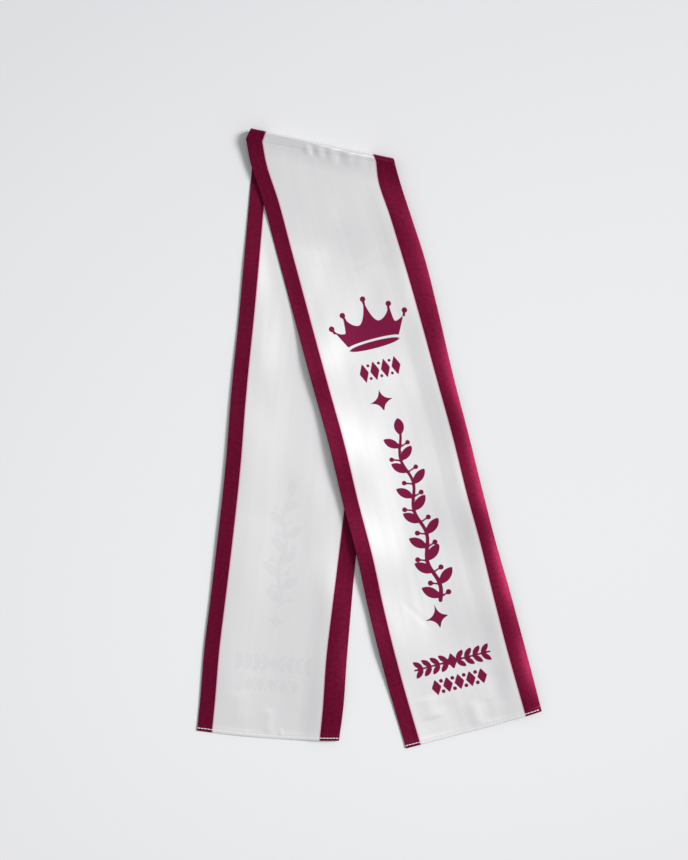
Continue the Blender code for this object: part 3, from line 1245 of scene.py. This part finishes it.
@dataclass
class ClothStrip:
    """One sewn strip of a leg as a thin closed shell on its solid's form."""

    leg: Leg
    strip: Strip
    finish: SatinFinish
    flat: Point
    edge_round: float = 0.5
    thinnest: float = 0.16
    lip: float = 0.55
    lip_depth: float = 0.7

    @property
    def node(self) -> str:
        """The CAD node that this strip stands for."""
        return f"{self.leg.name}_{self.strip.value}"

    def walls(self, sheet: Sheet) -> tuple[Array, Array]:
        """Thickness at each point: more in the hem, less at the outer edge and at the stitches.

        Args:
            sheet: The strip's grid.

        Returns:
            Millimetres of wall for each point, and for each row what they were without an edge or a stitch.
        """
        hem = 1.0 - smooth((sheet.from_hem - CLOTH.hem_depth) / CLOTH.hem_fade)
        usual = CLOTH.wall + CLOTH.hem_extra * hem
        groove = CLOTH.stitch_groove * bell((sheet.from_hem - CLOTH.stitch_line) / CLOTH.groove_half_width)
        lip = 1.0 - self.lip * (1.0 - smooth(sheet.from_hem / self.lip_depth))
        near = np.clip(self.strip.from_edge(sheet.cut) / self.edge_round, 0.0, 1.0)
        columns = self.thinnest + (1.0 - self.thinnest) * np.sqrt(1.0 - (1.0 - near) ** 2)
        return ((usual - groove) * lip)[:, None] * columns, usual[:, None]

    def build(self) -> tuple[bpy.types.Object, tuple[Array, Array]]:
        """Builds the strip's mesh with its UV map and its attributes.

        Returns:
            The object, and the points of its stitch line on its two faces.
        """
        sheet = self.leg.sheet(self.strip.columns())
        wall, usual = self.walls(sheet)
        normal = unit(np.cross(np.gradient(sheet.points, axis=1), np.gradient(sheet.points, axis=0)))
        normal = normal if sheet.hem_first else -normal
        first = sheet.points + normal * np.maximum(usual - wall, 0.0)[..., None] / 2.0
        second = first + normal * wall[..., None]
        edge = np.full(wall.shape, -PRINT_REACH)
        if self.strip is Strip.PANEL:
            edge = self.leg.print_edge(sheet.points[..., 0] + 1j * sheet.points[..., 1])
        row = int(np.argmin(np.abs(sheet.from_hem - CLOTH.stitch_line)))
        return closed_shell(self.node + "_cloth", first, second, sheet, edge), (first[row], second[row])


def closed_shell(name: str, first: Array, second: Array, sheet: Sheet, edge: Array) -> bpy.types.Object:
    """Makes a closed mesh of two grids and the rim between them.

    Args:
        name: The object's name.
        first: The outer face or underside, rows by columns.
        second: The face at the other side of the wall.
        sheet: The strip's grid, for its UV map.
        edge: Distance inside the print, for each point.

    Returns:
        The object.
    """
    index = np.arange(edge.size).reshape(edge.shape)
    corners = (index[:-1, :-1], index[:-1, 1:], index[1:, 1:], index[1:, :-1])
    quads = np.stack(corners, axis=-1).reshape(-1, 4)
    rims = []
    for side in (np.s_[0], np.s_[:, -1], np.s_[-1, ::-1], np.s_[::-1, 0]):
        a, b = index[side], index[side] + edge.size
        rims.append(np.stack([a[1:], a[:-1], b[:-1], b[1:]], axis=-1))
    faces = np.concatenate([quads, quads[:, ::-1] + edge.size, *rims])
    faces = faces if sheet.hem_first else faces[:, ::-1]
    points = np.concatenate([first.reshape(-1, 3), second.reshape(-1, 3)]) * MM
    mesh = bpy.data.meshes.new(name)
    mesh.from_pydata(points.tolist(), [], faces.tolist(), shade_flat=False)
    mesh.validate()
    where = np.stack(np.broadcast_arrays(sheet.cut[None, :], sheet.along[:, None]), axis=-1).reshape(-1, 2)
    uv = np.tile(where * MM, (2, 1))[faces.ravel()]
    mesh.uv_layers.new(name="cloth").data.foreach_set("uv", uv.ravel())
    backs = (0.0, 1.0) if sheet.hem_first else (1.0, 0.0)
    attributes = {"print_edge": np.tile(edge.ravel(), 2), "back": np.repeat(backs, edge.size)}
    for attribute, values in attributes.items():
        mesh.attributes.new(attribute, "FLOAT", "POINT").data.foreach_set("value", values)
    mesh.update()
    obj = put(name, mesh)
    deselect_all()
    obj.select_set(True)
    bpy.context.view_layer.objects.active = obj
    bpy.ops.object.shade_smooth_by_angle(angle=math.radians(SHARP_FROM))
    return obj


def put(name: str, data: bpy.types.ID) -> bpy.types.Object:
    """Puts a new object with the data into the scene."""
    obj = bpy.data.objects.new(name, data)
    bpy.context.scene.collection.objects.link(obj)
    return obj


def deselect_all() -> None:
    """Leaves nothing selected."""
    for obj in bpy.context.selected_objects:
        obj.select_set(False)


@dataclass
class HemStitches:
    """A row of lockstitches along a leg's hem."""

    leg: str
    pitch: float = 3.4
    length: float = 3.05
    half_width: float = 0.44
    half_height: float = 0.22
    sides: int = 8
    inset: Point = (1.9, 1.6)
    raised: Point = (0.2, 0.06)
    look_ahead: float = 0.8

    def model(self) -> bpy.types.Object:
        """Models one stitch a thousand times too large: a thread whose ends dip into the cloth.

        Returns:
            The stitch, along X.
        """
        deselect_all()
        bpy.ops.mesh.primitive_cylinder_add(
            vertices=self.sides,
            radius=self.half_width,
            depth=self.length * 0.55,
            rotation=(0.0, math.pi / 2.0, 0.0),
        )
        stitch = bpy.context.active_object
        bpy.ops.object.transform_apply(location=True, rotation=True, scale=True)
        bpy.ops.object.mode_set(mode="EDIT")
        bpy.ops.mesh.select_mode(type="FACE")
        for side in (-1.0, 1.0):
            for step, drop, size in ((0.14, 0.10, 0.86), (0.09, 0.22, 0.7)):
                bpy.ops.mesh.select_all(action="DESELECT")
                bpy.ops.object.mode_set(mode="OBJECT")
                ends = [face for face in stitch.data.polygons if face.normal.x * side > 0.9]
                furthest = max(ends, key=lambda face: face.center.x * side)
                furthest.select = True
                bpy.ops.object.mode_set(mode="EDIT")
                bpy.ops.mesh.extrude_region_move(
                    TRANSFORM_OT_translate={
                        "value": (side * self.length * step, 0.0, -drop * self.half_width * 3.0)
                    }
                )
                bpy.ops.transform.resize(value=(1.0, size, size))
        bpy.ops.object.mode_set(mode="OBJECT")
        for vertex in stitch.data.vertices:
            vertex.co.z *= self.half_height / self.half_width
        stitch.data.shade_smooth()
        return stitch

    def build(self, lines: list[tuple[Array, Array]]) -> bpy.types.Object:
        """Lays copies of the stitch along the hem on both faces.

        Args:
            lines: For each strip, from left to right, its stitch line's points on its two faces.

        Returns:
            All the stitches as one object.
        """
        model = self.model()
        corners = np.array([vertex.co for vertex in model.data.vertices])
        deselect_all()
        for points, outward, raised in zip(zip(*lines), (-1.0, 1.0), self.raised):
            line = np.concatenate(points) + np.array([0.0, 0.0, raised])
            steps = np.linalg.norm(np.diff(line, axis=0), axis=1)
            travelled = np.concatenate([[0.0], np.cumsum(steps)])
            for at in np.arange(self.inset[0], travelled[-1] - self.inset[1], self.pitch):
                here, nearby = (
                    np.array([np.interp(x, travelled, line[:, i]) for i in range(3)])
                    for x in (at, at + self.look_ahead)
                )
                along = unit(nearby - here)
                side = unit(np.cross((0.0, 0.0, outward), along))
                copy = model.copy()
                copy.data = model.data.copy()
                bpy.context.scene.collection.objects.link(copy)
                placed = here + corners @ np.stack([along, side, np.cross(along, side)])
                copy.data.vertices.foreach_set("co", (placed * MM).ravel())
                copy.select_set(True)
        bpy.data.objects.remove(model, do_unlink=True)
        bpy.context.view_layer.objects.active = copy
        bpy.ops.object.join()
        row = bpy.context.active_object
        row.name = f"{self.leg}_hem_stitches"
        row.data.name = row.name
        row.data.update()
        return row


@dataclass
class Sash:
    """The whole sash: two legs of three strips each, and the stitches of both hems."""

    cloth: dict[str, bpy.types.Object] = field(default_factory=dict)

    @staticmethod
    def strips() -> list[ClothStrip]:
        """The strips, each with the flat size that it was cut to, in metres."""
        finishes = (BURGUNDY_SATIN, WHITE_SATIN, BURGUNDY_SATIN)
        widths = (CLOTH.left_band * MM, CLOTH.white * MM, (CLOTH.full - CLOTH.right_seam) * MM)
        return [
            ClothStrip(leg, strip, finish, (width, length))
            for leg in (REAR, FRONT)
            for strip, finish, width, length in zip(Strip, finishes, widths, leg.flat_lengths)
        ]

    def build(self) -> None:
        """Builds and dresses every piece, hangs it on the root body and hides the CAD parts that the cloth
        stands for.
        """
        strips = self.strips()
        satins = {finish.slot: finish.material() for finish in (WHITE_SATIN, BURGUNDY_SATIN)}
        thread = THREAD.material()
        stitch_lines: dict[str, list[tuple[Array, Array]]] = {"rear": [], "front": []}
        for strip in strips:
            obj, lines = strip.build()
            obj.data.materials.append(satins[strip.finish.slot])
            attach(obj, "root")
            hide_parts(strip.node)
            self.cloth[strip.node] = obj
            stitch_lines[strip.leg.name].append(lines)
            log.info("%s: %d faces", obj.name, len(obj.data.polygons))
        for leg, lines in stitch_lines.items():
            stitches = HemStitches(leg).build(lines)
            stitches.data.materials.append(thread)
            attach(stitches, "root")
            self.cloth[f"{leg}_stitches"] = stitches
            log.info("%s: %d faces", stitches.name, len(stitches.data.polygons))


@dataclass(frozen=True)
class Softbox:
    """A soft square light that looks at a point of the board from an azimuth and an elevation."""

    name: str
    aim: Point
    azimuth: float
    elevation: float
    distance: float
    size: float
    spread: float
    power: float
    colour: Colour

    def add(self) -> None:
        """Adds the light."""
        target = np.array([*self.aim, 0.0])
        turn, rise = math.radians(self.azimuth), math.radians(self.elevation)
        towards = np.array([math.cos(rise) * math.cos(turn), math.cos(rise) * math.sin(turn), math.sin(rise)])
        data = bpy.data.lights.new(self.name, "AREA")
        data.shape = "SQUARE"
        data.size = self.size
        data.spread = math.radians(self.spread)
        data.energy = self.power
        data.color = self.colour
        light = put(self.name, data)
        light.location = target + self.distance * towards
        light.rotation_euler = (math.pi / 2.0 - rise, 0.0, turn + math.pi / 2.0)


@dataclass(frozen=True)
class Studio:
    """The board, the light and the camera straight above."""

    board_size: float = 6.0
    image_height: int = 860
    mm_per_pixel: float = 1.054
    view_centre: Point = (-26.6, 9.3)
    lens: float = 85.0
    sensor: float = 36.0
    key: Softbox = Softbox("key", (0.03, -0.14), 17.0, 42.0, 5.0, 2.2, 29.5, 14.3, (1.0, 0.997, 0.99))
    ambient: Colour = (0.444, 0.445, 0.456)

    def add_floor(self) -> None:
        """Adds the board that the sash lies on."""
        deselect_all()
        bpy.ops.mesh.primitive_plane_add(size=self.board_size, location=(0.0, 0.0, 0.0))
        floor = bpy.context.active_object
        floor.name = "studio_board"
        floor.data.materials.append(BOARD.material())

    def add_camera(self) -> None:
        """Adds the camera straight above the middle of the photograph."""
        data = bpy.data.cameras.new("camera")
        data.lens = self.lens
        data.sensor_width = self.sensor
        data.sensor_fit = "AUTO"
        camera = put("camera", data)
        height = self.image_height * self.mm_per_pixel * MM * self.lens / self.sensor
        camera.location = (self.view_centre[0] * MM, self.view_centre[1] * MM, height)
        bpy.context.scene.camera = camera

    def build(self) -> None:
        """Builds the whole studio."""
        scene = bpy.context.scene
        scene.view_settings.view_transform = "Standard"
        world = bpy.data.worlds.new("studio")
        world.use_nodes = True
        world.node_tree.nodes["Background"].inputs["Color"].default_value = (*self.ambient, 1.0)
        scene.world = world
        self.add_floor()
        self.key.add()
        self.add_camera()
        log.info("studio built")


def main() -> None:
    """Builds the sash and its studio."""
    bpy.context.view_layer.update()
    for build_group in (weave_group, shade_group, ink_group, dye_group):
        build_group()
    Sash().build()
    Studio().build()
    bpy.context.view_layer.update()
    log.info("sash built")


if __name__ == "__main__":
    logging.basicConfig(level=logging.INFO, format="%(name)s %(message)s")
    main()
